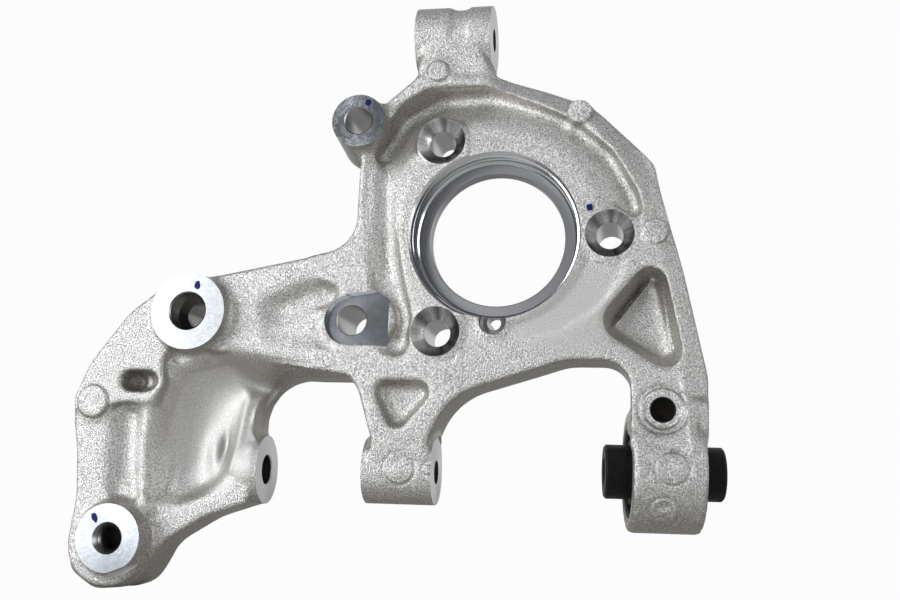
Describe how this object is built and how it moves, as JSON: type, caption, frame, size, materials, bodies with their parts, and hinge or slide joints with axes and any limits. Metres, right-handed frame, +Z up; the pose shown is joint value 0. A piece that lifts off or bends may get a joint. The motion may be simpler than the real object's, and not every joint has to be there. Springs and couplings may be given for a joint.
{
  "type": "steering knuckle",
  "caption": "Cast aluminium rear knuckle: a ring-shaped hub carrier with a caliper arm, link ears, a pressed-in rubber bush, and machined bores and faces.",
  "frame": {"origin": "centre of the hub pilot bore, on the outboard mounting face", "axes": "+Y outboard along the wheel axis, +X along the vehicle towards the bush eye, +Z up"},
  "size_m": [0.3487, 0.0646, 0.3258],
  "materials": {
    "cast_aluminium": "shot-blasted casting with bright machined faces",
    "sleeve_steel": "plain drawn tube",
    "bush_rubber": "matt moulded rubber",
    "sleeve_black": "black phosphate coat"
  },
  "bodies": {
    "root": {"knuckle_casting": "cast_aluminium", "bush_outer_sleeve": "sleeve_steel", "bush_rubber": "bush_rubber", "bush_inner_sleeve": "sleeve_black"}
  },
  "joints": []
}
